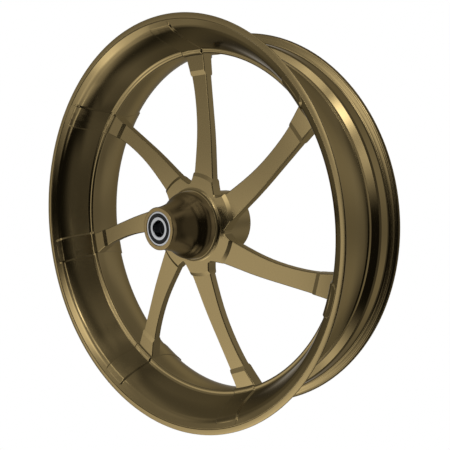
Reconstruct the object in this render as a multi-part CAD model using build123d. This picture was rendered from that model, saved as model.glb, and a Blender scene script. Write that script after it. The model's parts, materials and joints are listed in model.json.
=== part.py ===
from build123d import *
from math import cos, sin, tan, sqrt, radians
import os

os.makedirs("parts", exist_ok=True)

# ---------------------------------------------------------------- driving dimensions (mm)
# Frame: origin at the wheel centre, +Y is the spin axis, the deep dish faces -Y, +Z is up.

# Rim: 23 inch bead seat, 5.5 inch between the flanges
SEAT_R = 292.1            # bead seat at the foot of the flange
FLANGE_H = 14.0           # flange height above the seat
LIP_R = SEAT_R + FLANGE_H
BETWEEN_FLANGES = 139.7
FLANGE_T = 5.5            # flange thickness at the lip
HALF_IN = BETWEEN_FLANGES / 2
HALF_OUT = HALF_IN + FLANGE_T
LAND_W = 7.4              # flat turned land on the face of the lip
LAND_DROP = 0.75          # the land leans back by this much
GROOVE_W = 0.9            # fine groove inside the land
GROOVE_D = 1.1
LIP_ROUND = 1.0           # crest of the lip
LIP_BACK = 6.5            # the curled back of the lip ends this far down
BEVEL_ANGLE = 56.0        # the dish starts on a bevel, measured off the axle
BEVEL_L = 7.0
BEVEL_ROUND = 19.0        # round that turns the bevel into the dish wall
DISH_TOP_ANGLE = 25.5     # the wall flattens from here
DISH_FOOT_ANGLE = 14.0    # to here at its foot
DISH_FOOT_Y = 16.8
BARREL_R = SEAT_R - 26.4  # inner barrel behind the spokes
DISH_FOOT_R = BARREL_R + 5.2
KNEE = 3.3                # hollow corner between the dish foot and the bead wall
FAR_ARC_END_Y = 70.3      # the far flare turns into the far bevel
BEAD_R = 3.2              # half-round bead at the near edge of the barrel
BEAD_Y = -6.7
FAR_ARC_Y = 6.9           # where the barrel starts to flare towards the far lip
FAR_ARC_R = 93.4
WELL_R = SEAT_R - 18.7    # bottom of the drop centre
WELL_Y0, WELL_Y1 = 4.0, 12.0
WELL_ARC_R = 120.0        # near half of the tyre bed rises on this radius
WELL_END = (WELL_R + 4.5, 37.3)  # far end of the well
STEP_R = WELL_R + 6.5     # narrow land between well and hump
STEP_Y0, STEP_Y1 = 38.3, 42.7
CONE_TOP = (SEAT_R - 3.6, 48.9)  # hump cone up to the bead seat
SEAT_IN = (SEAT_R - 1.6, 51.6)   # inner end of the tapered seat
SEAT_FILLET = 4.2         # root fillet between seat and flange

# Spoke star
SPOKES = 7
PITCH = 360 / SPOKES
MID_Y = 4.3               # middle plane of the spokes
THIN_T = 13.4             # spoke thickness
THICK_T = 19.3            # thickness at the hub and at the foot
EDGE_BREAK = 1.6          # chamfer along the spoke edges
STAR_R = BARREL_R + 4.3   # spokes run into the rim wall to here
HUB_RAMP = (77.4, 83.0)   # concentric ramp from the thick centre down to the spoke
END_RAMP = (BARREL_R - 34.6, BARREL_R - 27.8)  # straight ramp up to the foot block
END_BLOCK_X = (-35.0, 45.0)  # width of the zone that holds one foot block
PAST = 25.0               # cutting bodies run this far past the metal
WINDOW_ROOT = (45.9, 44.9)
WINDOW_ROUND = 5.0
WINDOW_TOP = (5.0, 12.3)   # middle of its outer edge: (x, height above the barrel)
# spoke walls of the upright spoke: (x, share of the way from WALL_START to the barrel)
WALL_START = 65.0
LEFT_WALL = [(-6.0, 0.0), (-0.6, 0.057), (2.2, 0.130), (5.5, 0.285), (6.8, 0.437), (5.2, 0.590),
             (0.8, 0.744), (-5.0, 0.862), (-11.4, 0.956), (-17.0, 1.051)]
RIGHT_WALL = [(44.4, -0.065), (41.5, 0.002), (39.9, 0.092), (38.5, 0.258), (36.2, 0.419), (32.8, 0.578),
              (28.6, 0.772), (25.6, 0.922), (24.6, 1.051)]
BOSS_R = 54.8             # low centre boss that the hub's bell sits on
BOSS_Y = -11.5
BOSS_FILLET = 5.0

# Feet: thin pads that carry each spoke over the bead and along the rim
FOOT_LIFT = 2.0
FOOT_GAP = 0.7            # the foot stops this far short of the groove in the lip
FOOT_ROUND = 5.0          # its two outer corners
FOOT_SWEEP = 40.0         # angle of rim liner that one foot is cut from
# foot sides: (x, height above the barrel)
FOOT_SIDE = [(-10.8, -13.7), (-14.2, 3.4), (-22.4, 33.5)]
FOOT_OTHER = [(24.6, -13.7), (24.4, 2.7), (17.1, 34.0)]

# Hub
NOSE_R = 32.3
HUB_HALF = 78.9           # half the overall hub length
NOSE_END = -HUB_HALF
NOSE_ROUND = 1.2
# bell from the nose to the boss: (radius, y)
BELL = [(NOSE_R, -72.0), (34.5, -61.0), (37.6, -50.0), (42.0, -39.0), (47.6, -30.2), (52.4, -22.0),
        (54.1, BOSS_Y)]
TUBE_R = 34.0
TUBE_BORE_R = 23.5
FLANGE_R = 52.5
FAR_END = HUB_HALF
ROTOR_PCD = 82.55
ROTOR_HOLES = 5
ROTOR_HOLE_R = 4.0
ROTOR_HOLE_DEPTH = 20.0
FLANGE_EDGE = 1.5
TUBE_EDGE = 1.0

# Bearings: 25 x 52 x 15 deep-groove, sealed both sides
BRG_BORE_R, BRG_OD_R, BRG_W = 12.5, 26.0, 15.0
BRG_FACE = HUB_HALF - 1.0  # outer faces of the two bearings, pressed in below the hub ends
BALL_R = 3.969
BALL_COUNT = 9
PITCH_R = 19.25
INNER_LAND_R = 17.1
OUTER_LAND_R = 21.6
SEAL_SEAT_R = 23.1
SEAL_T = 1.3
SEAL_RECESS = 0.5
RACE_GAP = 0.06           # ball to race, all round
LIP_GAP = 0.06            # seal lip to inner ring
CAGE_R0, CAGE_R1 = 18.0, 20.6
CAGE_HALF_W = 4.9
POCKET_GAP = 0.2
BRG_CHAMFER = 0.8
SPACER_R = 16.5
SPACER_BORE_R = 12.6

# Valve, radial, behind the foot of the upright spoke
VALVE_ANGLE = 89.0        # from +X towards +Z
VALVE_Y = 27.5
VALVE_R = 3.85
VALVE_HOLE_R = 4.15
VALVE_SLIP = 0.05         # seal and cap to the stem
WASHER_SLIP = 0.15
SPOT_OUT_R, SPOT_OUT = 9.0, WELL_R + 1.2
SPOT_IN_R, SPOT_IN = 8.5, BARREL_R + 3.2
VALVE_TIP = SPOT_IN - 26.4
VALVE_BORE_R = 2.0
VALVE_HEAD_R, VALVE_HEAD_T = 7.4, 2.0
VALVE_SEAL_R, VALVE_SEAL_T = 7.6, 2.2
WASHER_R, WASHER_T = 7.5, 1.2
NUT_R, NUT_T = 6.6, 5.0   # across the corners, and its height
CORE_R, CORE_L = 1.9, 22.0
CAP_R, CAP_L, CAP_END = 5.2, 9.0, 1.5


# ---------------------------------------------------------------- helpers
def ring(points):
    """Revolve a closed outline of (radius, y) points about the spin axis."""
    return revolve(make_face(Polyline(*points, close=True)), Axis.Y)


def face_of(runs):
    """Face inside a closed chain of curves and polylines."""
    return make_face(Wire([e for run in runs for e in run.edges()]))


def tube(r0, r1, y0, y1, cham=0.0):
    pts = [(r0, y0), (r1 - cham, y0), (r1, y0 + cham), (r1, y1 - cham), (r1 - cham, y1), (r0, y1)]
    if not cham:
        pts = [(r0, y0), (r1, y0), (r1, y1), (r0, y1)]
    return ring(pts)


def slab(face, y0, y1):
    """Extrude an X-Z outline from y0 to y1."""
    plane = Plane(origin=(0, y1, 0), x_dir=(1, 0, 0), z_dir=(0, -1, 0))
    return extrude(plane * face, amount=y1 - y0)


def turned(shape, k, n=SPOKES):
    return Rot(0, k * 360 / n, 0) * shape


def sag_arc(p, q, sag):
    """Arc from p to q whose middle lies sag off the chord, on its right-hand side."""
    dx, dy = q[0] - p[0], q[1] - p[1]
    length = sqrt(dx * dx + dy * dy)
    mid = ((p[0] + q[0]) / 2 + sag * dy / length, (p[1] + q[1]) / 2 - sag * dx / length)
    return ThreePointArc(p, mid, q)


def bend(p, a0, a1, r):
    """Arc of radius r from p = (radius, y) that turns a wall from a0 to a1 degrees off the axle."""
    def at(angle):
        a = radians(angle)
        return (p[0] - r * (cos(a) - cos(radians(a0))), p[1] + r * (sin(radians(a0)) - sin(a)))
    return ThreePointArc(p, at((a0 + a1) / 2), at(a1)), at(a1)


def rot_point(p, deg):
    """Turn an (x, z) point clockwise, as seen from the near side."""
    a = radians(deg)
    return (p[0] * cos(a) + p[1] * sin(a), -p[0] * sin(a) + p[1] * cos(a))


def save(shape, name):
    shape.label = name
    export_step(shape, "parts/" + name + ".step")


# ---------------------------------------------------------------- rim
def lip(side):
    """Points of one rim lip from the dish corner round to the flange face; side is -1 near, +1 far."""
    land_r = LIP_R - LAND_W
    bevel_y = HALF_OUT - LAND_DROP - GROOVE_D
    return {
        "bevel": (land_r - GROOVE_W, side * bevel_y),
        "groove": (land_r - GROOVE_W / 2, side * (bevel_y - GROOVE_D / 2)),
        "land": (land_r, side * (HALF_OUT - LAND_DROP)),
        "crest": (LIP_R - LIP_ROUND, side * HALF_OUT),
        "top": (LIP_R, side * (HALF_OUT - LIP_ROUND)),
        "back_mid": (LIP_R - 1.9, side * (HALF_IN + 1.35)),
        "back": (LIP_R - LIP_BACK, side * HALF_IN),
        "root": (SEAT_R + SEAT_FILLET - 0.3, side * HALF_IN),
        "root_mid": (SEAT_R + 0.95, side * (HALF_IN - 1.23)),
        "seat": (SEAT_R - 0.35, side * (HALF_IN - SEAT_FILLET)),
    }


def inner_edges():
    """Edges of the surface that faces the axle, from the near bevel to the far bevel."""
    near, far = lip(-1), lip(1)
    a = radians(BEVEL_ANGLE)
    bevel_end = (near["bevel"][0] - BEVEL_L * sin(a), near["bevel"][1] + BEVEL_L * cos(a))
    round_arc, wall_top = bend(bevel_end, BEVEL_ANGLE, DISH_TOP_ANGLE, BEVEL_ROUND)
    foot = (DISH_FOOT_R, -DISH_FOOT_Y)
    t0, t1 = radians(DISH_TOP_ANGLE), radians(DISH_FOOT_ANGLE)
    fall, run = wall_top[0] - foot[0], foot[1] - wall_top[1]
    c, d = cos(t1) - cos(t0), sin(t0) - sin(t1)
    wall_r = (fall * cos(t1) - run * sin(t1)) / (c * cos(t1) - d * sin(t1))
    wall_arc, wall_end = bend(wall_top, DISH_TOP_ANGLE, DISH_FOOT_ANGLE, wall_r)
    wall_y = BEAD_Y - BEAD_R
    slope = tan(t1)
    knee = (DISH_FOOT_R - (DISH_FOOT_Y + wall_y) * slope, wall_y)
    knee_a = (knee[0] + KNEE * slope, wall_y - KNEE)
    knee_b = (knee[0] - KNEE, wall_y)
    far_y = FAR_ARC_END_Y
    far_r = BARREL_R + FAR_ARC_R - sqrt(FAR_ARC_R ** 2 - (far_y - FAR_ARC_Y) ** 2)
    half = (far_y + FAR_ARC_Y) / 2
    half_r = BARREL_R + FAR_ARC_R - sqrt(FAR_ARC_R ** 2 - (half - FAR_ARC_Y) ** 2)
    return [
        Line(near["bevel"], bevel_end),
        round_arc,
        wall_arc,
        Line(wall_end, knee_a),
        ThreePointArc(knee_a, (knee[0] - KNEE * 0.22, wall_y - KNEE * 0.29), knee_b),
        Line(knee_b, (BARREL_R, wall_y)),
        ThreePointArc((BARREL_R, wall_y), (BARREL_R - BEAD_R, BEAD_Y), (BARREL_R, BEAD_Y + BEAD_R)),
        Line((BARREL_R, BEAD_Y + BEAD_R), (BARREL_R, FAR_ARC_Y)),
        ThreePointArc((BARREL_R, FAR_ARC_Y), (half_r, half), (far_r, far_y)),
        Line((far_r, far_y), far["bevel"]),
    ]


def lip_edges(side):
    p = lip(side)
    run = [
        Line(p["bevel"], p["groove"]), Line(p["groove"], p["land"]), Line(p["land"], p["crest"]),
        sag_arc(p["crest"], p["top"], -side * 0.28),
        ThreePointArc(p["top"], p["back_mid"], p["back"]),
        Line(p["back"], p["root"]),
        ThreePointArc(p["root"], p["root_mid"], p["seat"]),
        Line(p["seat"], (SEAT_IN[0], side * SEAT_IN[1])),
        Line((SEAT_IN[0], side * SEAT_IN[1]), (CONE_TOP[0], side * CONE_TOP[1])),
    ]
    return run


near_rise_y = -43.5
near_rise = (WELL_R + WELL_ARC_R - sqrt(WELL_ARC_R ** 2 - (WELL_Y0 - near_rise_y) ** 2), near_rise_y)
mid_y = (WELL_Y0 + near_rise_y) / 2
near_mid = (WELL_R + WELL_ARC_R - sqrt(WELL_ARC_R ** 2 - (WELL_Y0 - mid_y) ** 2), mid_y)
bed_edges = [
    Line((CONE_TOP[0], CONE_TOP[1]), (STEP_R + 0.4, STEP_Y1)),
    Line((STEP_R + 0.4, STEP_Y1), (STEP_R, STEP_Y0)),
    Line((STEP_R, STEP_Y0), WELL_END),
    sag_arc(WELL_END, (WELL_R, WELL_Y1), 1.1),
    Line((WELL_R, WELL_Y1), (WELL_R, WELL_Y0)),
    ThreePointArc((WELL_R, WELL_Y0), near_mid, near_rise),
    Line(near_rise, (CONE_TOP[0], -CONE_TOP[1])),
]
section = face_of(inner_edges() + lip_edges(1) + bed_edges + lip_edges(-1))
rim_body = revolve(section, Axis.Y)


def radial(r, r0, r1):
    """Cylinder on the valve axis from radius r0 out to r1."""
    plane = Plane(origin=(0, VALVE_Y, 0), x_dir=(0, 1, 0), z_dir=(1, 0, 0))
    body = plane.offset(r0) * Cylinder(r, r1 - r0, align=(Align.CENTER, Align.CENTER, Align.MIN))
    return Rot(0, -VALVE_ANGLE, 0) * body


INSIDE, OUTSIDE = BARREL_R - 11, WELL_R + 12   # radii clear of the rim wall on both sides
rim = rim_body - radial(VALVE_HOLE_R, INSIDE, OUTSIDE)
rim -= radial(SPOT_OUT_R, SPOT_OUT, OUTSIDE)
rim -= radial(SPOT_IN_R, INSIDE, SPOT_IN)

# ---------------------------------------------------------------- spoke star
def wall_points(stations):
    """Turn (x, share) stations into (x, z) points."""
    return [(x, WALL_START + share * (BARREL_R - WALL_START)) for x, share in stations]


right = wall_points(RIGHT_WALL)
left = [rot_point(p, PITCH) for p in wall_points(LEFT_WALL)]
window_edges = [
    Spline(WINDOW_ROOT, *right),
    ThreePointArc(right[-1], rot_point((WINDOW_TOP[0], BARREL_R + WINDOW_TOP[1]), PITCH / 2), left[-1]),
    Spline(*reversed(left), WINDOW_ROOT),
]
window = face_of(window_edges)
root_vertex = window.vertices().sort_by_distance((WINDOW_ROOT[0], WINDOW_ROOT[1], 0))[0]
window = fillet(root_vertex, WINDOW_ROUND)
outline = Circle(STAR_R) - [Rot(0, 0, -k * PITCH) * window for k in range(SPOKES)]


def star(thickness):
    """The whole star at one thickness, with its face edges chamfered."""
    body = slab(outline, MID_Y - thickness / 2, MID_Y + thickness / 2)
    for y in (MID_Y - thickness / 2, MID_Y + thickness / 2):
        edges = body.edges().filter_by_position(Axis.Y, y - 0.01, y + 0.01)
        edges = [e for e in edges if (e @ 0.5).Z ** 2 + (e @ 0.5).X ** 2 < (STAR_R - 1) ** 2]
        body = chamfer(edges, EDGE_BREAK)
    return body


half_thin, half_thick = THIN_T / 2, THICK_T / 2
centre_zone = ring([(0, MID_Y - half_thick - 1), (HUB_RAMP[0] - 2, MID_Y - half_thick - 1),
                    (HUB_RAMP[0], MID_Y - half_thick), (HUB_RAMP[1], MID_Y - half_thin),
                    (HUB_RAMP[1], MID_Y + half_thin), (HUB_RAMP[0], MID_Y + half_thick),
                    (HUB_RAMP[0] - 2, MID_Y + half_thick + 1), (0, MID_Y + half_thick + 1)])
ramp = [(MID_Y - half_thick - 1, END_RAMP[1] + 2), (MID_Y - half_thick, END_RAMP[1]),
        (MID_Y - half_thin, END_RAMP[0]), (MID_Y + half_thin, END_RAMP[0]),
        (MID_Y + half_thick, END_RAMP[1]), (MID_Y + half_thick + 1, END_RAMP[1] + 2),
        (MID_Y + half_thick + 1, BARREL_R + PAST), (MID_Y - half_thick - 1, BARREL_R + PAST)]
end_zone = Plane.YZ.offset(END_BLOCK_X[0]) * extrude(
    make_face(Polyline(*ramp, close=True)), amount=END_BLOCK_X[1] - END_BLOCK_X[0])
thick = star(THICK_T)
spider = star(THIN_T) + (thick & centre_zone)
for k in range(SPOKES):
    spider += thick & turned(end_zone, k)

# centre boss with its fillet
face_y = MID_Y - half_thick
spider += tube(0, BOSS_R, BOSS_Y, MID_Y)
near45 = BOSS_FILLET * (1 - cos(radians(45)))
blend = face_of([
    Line((BOSS_R, face_y), (BOSS_R + BOSS_FILLET, face_y)),
    ThreePointArc((BOSS_R + BOSS_FILLET, face_y), (BOSS_R + near45, face_y - near45),
                  (BOSS_R, face_y - BOSS_FILLET)),
    Line((BOSS_R, face_y - BOSS_FILLET), (BOSS_R, face_y))])
spider += revolve(blend, Axis.Y)

# feet: a thin liner of the rim's inner surface, cut to the foot outline
liner = make_face(offset(Wire(inner_edges()), amount=FOOT_LIFT, side=Side.LEFT, closed=True))
foot_end = LIP_R - LAND_W - GROOVE_W - FOOT_GAP
side_a = [(x, BARREL_R + up) for x, up in FOOT_SIDE]
side_b = [(x, BARREL_R + up) for x, up in FOOT_OTHER]
foot_outline = make_face(Polyline(*side_a, *reversed(side_b), close=True)) & Circle(foot_end)
corners = foot_outline.vertices().sort_by(Axis.Y)[-2:]
foot_outline = fillet(corners, FOOT_ROUND)
foot = revolve(liner, Axis.Y, FOOT_SWEEP)
foot = Rot(0, -90 - FOOT_SWEEP / 2, 0) * foot & slab(foot_outline, -HALF_OUT, HALF_OUT)
for k in range(SPOKES):
    spider += turned(foot, k)
spider = spider - rim_body - tube(0, TUBE_R, BOSS_Y - 1, MID_Y + half_thick + 1)
spider -= radial(SPOT_IN_R, INSIDE, SPOT_IN)

# ---------------------------------------------------------------- hub
nose_edges = [
    Line((BRG_OD_R, NOSE_END), (NOSE_R - NOSE_ROUND, NOSE_END)),
    sag_arc((NOSE_R - NOSE_ROUND, NOSE_END), (NOSE_R, NOSE_END + NOSE_ROUND), 0.35),
    Line((NOSE_R, NOSE_END + NOSE_ROUND), BELL[0]),
    Spline(*BELL),
]
bore_y = BRG_FACE - BRG_W
hub_run = [BELL[-1], (TUBE_R, BOSS_Y), (TUBE_R, FAR_END - TUBE_EDGE), (TUBE_R - TUBE_EDGE, FAR_END),
           (BRG_OD_R, FAR_END),
           (BRG_OD_R, bore_y), (TUBE_BORE_R, bore_y), (TUBE_BORE_R, -bore_y), (BRG_OD_R, -bore_y),
           (BRG_OD_R, NOSE_END)]
hub_nose = revolve(face_of(nose_edges + [Polyline(*hub_run)]), Axis.Y)

back_y = MID_Y + half_thick
hub_flange = ring([(TUBE_R, back_y), (FLANGE_R, back_y), (FLANGE_R, FAR_END - FLANGE_EDGE),
                   (FLANGE_R - FLANGE_EDGE, FAR_END), (TUBE_R, FAR_END)])
for k in range(ROTOR_HOLES):
    spot = Plane(origin=(0, FAR_END, 0), x_dir=(1, 0, 0), z_dir=(0, -1, 0))
    hole = spot * Pos(0, ROTOR_PCD / 2, 0) * Cylinder(
        ROTOR_HOLE_R, ROTOR_HOLE_DEPTH, align=(Align.CENTER, Align.CENTER, Align.MIN))
    hub_flange -= turned(hole, k, ROTOR_HOLES)

spacer = tube(SPACER_BORE_R, SPACER_R, -bore_y, bore_y)


# ---------------------------------------------------------------- bearings
def bearing(side):
    """The six pieces of one sealed bearing; side is -1 near, +1 far."""
    y0 = side * BRG_FACE if side < 0 else BRG_FACE - BRG_W
    y1 = y0 + BRG_W
    yc = (y0 + y1) / 2
    race = Pos(0, yc, 0) * Rot(90, 0, 0) * Torus(PITCH_R, BALL_R + RACE_GAP)
    lip_w = SEAL_RECESS + SEAL_T
    c = BRG_CHAMFER
    inner = ring([(BRG_BORE_R, y0 + c), (BRG_BORE_R + c, y0), (INNER_LAND_R, y0), (INNER_LAND_R, y1),
                  (BRG_BORE_R + c, y1), (BRG_BORE_R, y1 - c)]) - race
    outer = ring([(SEAL_SEAT_R, y0), (BRG_OD_R - c, y0), (BRG_OD_R, y0 + c), (BRG_OD_R, y1 - c),
                  (BRG_OD_R - c, y1), (SEAL_SEAT_R, y1), (SEAL_SEAT_R, y1 - lip_w),
                  (OUTER_LAND_R, y1 - lip_w), (OUTER_LAND_R, y0 + lip_w), (SEAL_SEAT_R, y0 + lip_w)]) - race
    cage = tube(CAGE_R0, CAGE_R1, yc - CAGE_HALF_W, yc + CAGE_HALF_W)
    balls = []
    for k in range(BALL_COUNT):
        spin = Rot(0, k * 360 / BALL_COUNT, 0) * Pos(0, yc, PITCH_R)
        balls.append(spin * Sphere(BALL_R))
        cage -= spin * Cylinder(BALL_R + POCKET_GAP, 8)
    seals = [tube(INNER_LAND_R + LIP_GAP, SEAL_SEAT_R, y0 + SEAL_RECESS, y0 + lip_w),
             tube(INNER_LAND_R + LIP_GAP, SEAL_SEAT_R, y1 - lip_w, y1 - SEAL_RECESS)]
    outside, inside = seals if side < 0 else reversed(seals)
    return {"outer_ring": outer, "inner_ring": inner, "balls": Compound(children=balls), "cage": cage,
            "seal_out": outside, "seal_in": inside}


# ---------------------------------------------------------------- valve
def on_valve(shape):
    return Rot(0, -VALVE_ANGLE, 0) * Pos(0, VALVE_Y, 0) * shape


def disc(r_in, r_out, from_r, to_r):
    """Washer on the valve axis between two wheel radii."""
    plane = Plane.YZ.offset(from_r)
    low = (Align.CENTER, Align.CENTER, Align.MIN)
    body = plane * Cylinder(r_out, to_r - from_r, align=low)
    return body - plane * Cylinder(r_in, to_r - from_r, align=low) if r_in else body


seal_top = SPOT_OUT + VALVE_SEAL_T
core_base = VALVE_TIP + CAP_END + 0.5
valve_seal = on_valve(disc(VALVE_R + VALVE_SLIP, VALVE_SEAL_R, SPOT_OUT, seal_top))
stem = disc(VALVE_BORE_R, VALVE_HEAD_R, seal_top, seal_top + VALVE_HEAD_T)
stem += disc(VALVE_BORE_R, VALVE_R, VALVE_TIP + CAP_END, seal_top + VALVE_HEAD_T / 10)
valve_stem = on_valve(stem)
valve_washer = on_valve(disc(VALVE_R + WASHER_SLIP, WASHER_R, SPOT_IN - WASHER_T, SPOT_IN))
nut_top = SPOT_IN - WASHER_T
hexagon = Plane.YZ.offset(nut_top - NUT_T) * extrude(RegularPolygon(NUT_R, 6), amount=NUT_T)
valve_nut = on_valve(hexagon - disc(0, VALVE_R, nut_top - NUT_T - 1, nut_top + 1))
valve_core = on_valve(disc(0, CORE_R, core_base, core_base + CORE_L))
cap = disc(0, CAP_R, VALVE_TIP, VALVE_TIP + CAP_L)
cap -= disc(0, VALVE_R + VALVE_SLIP, VALVE_TIP + CAP_END, VALVE_TIP + CAP_L)
valve_cap = on_valve(cap)

# ---------------------------------------------------------------- write every piece
pieces = {"rim": rim, "spider": spider, "hub_nose": hub_nose, "hub_flange": hub_flange, "spacer": spacer,
          "valve_stem": valve_stem, "valve_seal": valve_seal, "valve_washer": valve_washer,
          "valve_nut": valve_nut, "valve_core": valve_core, "valve_cap": valve_cap}
for prefix, side in (("near", -1), ("far", 1)):
    for name, shape in bearing(side).items():
        pieces[prefix + "_" + name] = shape
for name, shape in pieces.items():
    save(shape, name)
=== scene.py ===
# %% [markdown]
# # A dished spoked wheel
# The solids of the wheel come ready from the CAD step. Here they get their finish, the small parts get
# the detail that was left out of the solids, and a studio with a dark tent is built around them.
# Lengths are in metres.

# %% Load the solids
import bmesh
import bpy
import json
import math
from mathutils import Matrix, Vector


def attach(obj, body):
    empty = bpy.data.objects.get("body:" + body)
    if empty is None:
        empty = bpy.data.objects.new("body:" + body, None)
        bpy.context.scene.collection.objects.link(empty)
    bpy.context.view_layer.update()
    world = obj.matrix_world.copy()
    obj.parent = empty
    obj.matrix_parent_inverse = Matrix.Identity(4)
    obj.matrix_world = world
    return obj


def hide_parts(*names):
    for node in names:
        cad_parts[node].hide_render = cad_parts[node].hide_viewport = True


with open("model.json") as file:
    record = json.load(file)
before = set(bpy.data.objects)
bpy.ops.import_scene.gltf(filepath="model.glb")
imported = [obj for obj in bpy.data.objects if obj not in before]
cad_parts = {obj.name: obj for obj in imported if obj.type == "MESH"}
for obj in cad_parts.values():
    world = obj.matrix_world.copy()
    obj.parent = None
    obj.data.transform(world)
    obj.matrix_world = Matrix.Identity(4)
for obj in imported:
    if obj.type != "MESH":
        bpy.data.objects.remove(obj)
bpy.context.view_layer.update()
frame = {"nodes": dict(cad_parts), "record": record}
MM = 0.001

# %% [markdown]
# Colours are picked as hex values on a screen, but a shader works with linear light, so one function
# turns a hex value into linear red, green and blue. A second small function adds a shader node, sets it
# and links it, so that a node tree reads as a list of steps.

# %% Colour and node helpers
def linear(hex_value):
    channels = [int(hex_value[i:i + 2], 16) / 255 for i in (1, 3, 5)]
    return [c / 12.92 if c <= 0.04045 else ((c + 0.055) / 1.055) ** 2.4 for c in channels] + [1.0]


def add_node(tree, kind, links=None, **settings):
    """Add one node; settings are its properties, links map an input's name to a value or a socket."""
    made = tree.nodes.new(kind)
    for name, value in settings.items():
        setattr(made, name, value)
    for name, value in (links or {}).items():
        if isinstance(value, bpy.types.NodeSocket):
            tree.links.new(value, made.inputs[name])
        else:
            made.inputs[name].default_value = value
    return made


def new_material(name):
    made = bpy.data.materials.new(name)
    made.use_nodes = True
    made.node_tree.nodes.clear()
    return made, made.node_tree


def finish_material(tree, shader):
    add_node(tree, "ShaderNodeOutputMaterial", {"Surface": shader.outputs[0]})


print("mid grey as linear light:", [round(value, 3) for value in linear("#808080")])

# %% [markdown]
# The wheel is forged aluminium, machined and then anodised in a satin bronze. The dye sits in a clear
# oxide layer, so the metal keeps its mirror-like reflections but tints them, and the fine blasted grain
# underneath blurs them a little: that is a metal with a low roughness. The grain is finer than a tenth of
# a millimetre, too small to show at this distance, so it is drawn about a millimetre coarse, as a weak
# change in roughness. Metal turns whiter where it is seen at a glance, and Specular Tint keeps a little
# of the dye's colour there.

# %% Satin bronze anodised aluminium
GLANCE = "#E8DDC6"        # colour of the bronze where it is seen at a glance
GRAINS = 900.0            # noise cells in a metre, so that one is about 1.1 mm across
GRAIN_DEPTH = 0.02        # how far the grain moves the roughness up and down


def satin_bronze(name, tint, roughness):
    """Anodised metal: a mirror tinted by its dye and blurred a little by its grain."""
    made, tree = new_material(name)
    place = add_node(tree, "ShaderNodeTexCoord")
    grain = add_node(tree, "ShaderNodeTexNoise", {"Vector": place.outputs["Object"], "Scale": GRAINS,
                     "Detail": 2.0})
    spread = add_node(tree, "ShaderNodeMapRange", {"Value": grain.outputs["Fac"],
                      "To Min": roughness - GRAIN_DEPTH, "To Max": roughness + GRAIN_DEPTH})
    shader = add_node(tree, "ShaderNodeBsdfPrincipled", {"Base Color": linear(tint), "Metallic": 1.0,
                      "Roughness": spread.outputs["Result"], "Specular Tint": linear(GLANCE)})
    finish_material(tree, shader)
    return made


def plain_metal(name, tint, roughness):
    made, tree = new_material(name)
    shader = add_node(tree, "ShaderNodeBsdfPrincipled", {"Base Color": linear(tint), "Metallic": 1.0,
                      "Roughness": roughness})
    finish_material(tree, shader)
    return made


def plain_solid(name, tint, roughness):
    made, tree = new_material(name)
    shader = add_node(tree, "ShaderNodeBsdfPrincipled", {"Base Color": linear(tint), "Roughness": roughness})
    finish_material(tree, shader)
    return made


BRONZE = "#B09A6B"
finishes = {
    "rim_alloy": satin_bronze("satin bronze anodised rim", BRONZE, 0.15),
    "star_alloy": satin_bronze("satin bronze anodised spokes", BRONZE, 0.16),
    # the hub's bronze is a darker copy of the same bronze: painted shade for the dark bell of the hub, not a
    # different dye
    "hub_alloy": satin_bronze("satin bronze hub darkened as painted shade", "#A38C60", 0.15),   # a shade darker
    "spacer_alloy": plain_metal("machined aluminium", "#D5D6D8", 0.30),        # bright, with soft reflections
    "bearing_steel": plain_metal("ground bearing steel", "#D9DADC", 0.18),     # clear, slightly blurred
    "ball_steel": plain_metal("polished ball steel", "#E2E3E5", 0.06),         # nearly a mirror
    "cage_steel": plain_metal("pressed steel cage", "#B9B9BA", 0.32),          # dull grey
    "seal_rubber": plain_solid("nitrile rubber seal", "#1B1B1D", 0.55),        # black with a faint sheen
    "valve_brass": plain_metal("turned brass", "#C9A45A", 0.25),               # yellow and bright
    "valve_rubber": plain_solid("valve rubber", "#17171A", 0.60),              # black and almost matt
    "valve_steel": plain_metal("nickel plated steel", "#C9C8C3", 0.22),        # warm white metal
    "cap_plastic": plain_solid("black moulded cap", "#1A1A1C", 0.45),          # black with a soft gloss
}

slots = {part["node"]: part["material_slot"] for part in frame["record"]["subparts"]}
for name, obj in frame["nodes"].items():
    obj.data.materials.clear()
    obj.data.materials.append(finishes[slots[name]])
print("nodes dressed:", len(frame["nodes"]))

# %% [markdown]
# The rim, the hub and the seals are turned pieces: on the real wheel a lathe tool follows one outline
# while the blank spins. Blender could spin such an outline with a Screw modifier, but a Geometry Nodes
# tree keeps the outline, the number of steps and the material as named inputs, so one tree serves all
# these pieces. The tree sweeps the outline round a circle, marks the real corners as sharp and gives the
# piece its material. A helper runs a tree and keeps the result as a plain mesh.

# %% Helpers that build and run a tree of geometry nodes
def new_tree(name, inputs):
    """A geometry tree with named inputs, each given as (name, socket type, value)."""
    tree = bpy.data.node_groups.new(name, "GeometryNodeTree")
    tree.is_modifier = True
    for label, kind, value in inputs:
        socket = tree.interface.new_socket(label, in_out="INPUT", socket_type=kind)
        if value is not None:
            socket.default_value = value
    tree.interface.new_socket("Geometry", in_out="OUTPUT", socket_type="NodeSocketGeometry")
    return tree, tree.nodes.new("NodeGroupInput")


def end_tree(tree, geometry, material):
    """Close a tree: real geometry in place of instances, and the piece's material."""
    real = add_node(tree, "GeometryNodeRealizeInstances", {"Geometry": geometry})
    painted = add_node(tree, "GeometryNodeSetMaterial", {"Geometry": real.outputs[0], "Material": material})
    add_node(tree, "NodeGroupOutput", {"Geometry": painted.outputs[0]})


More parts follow.
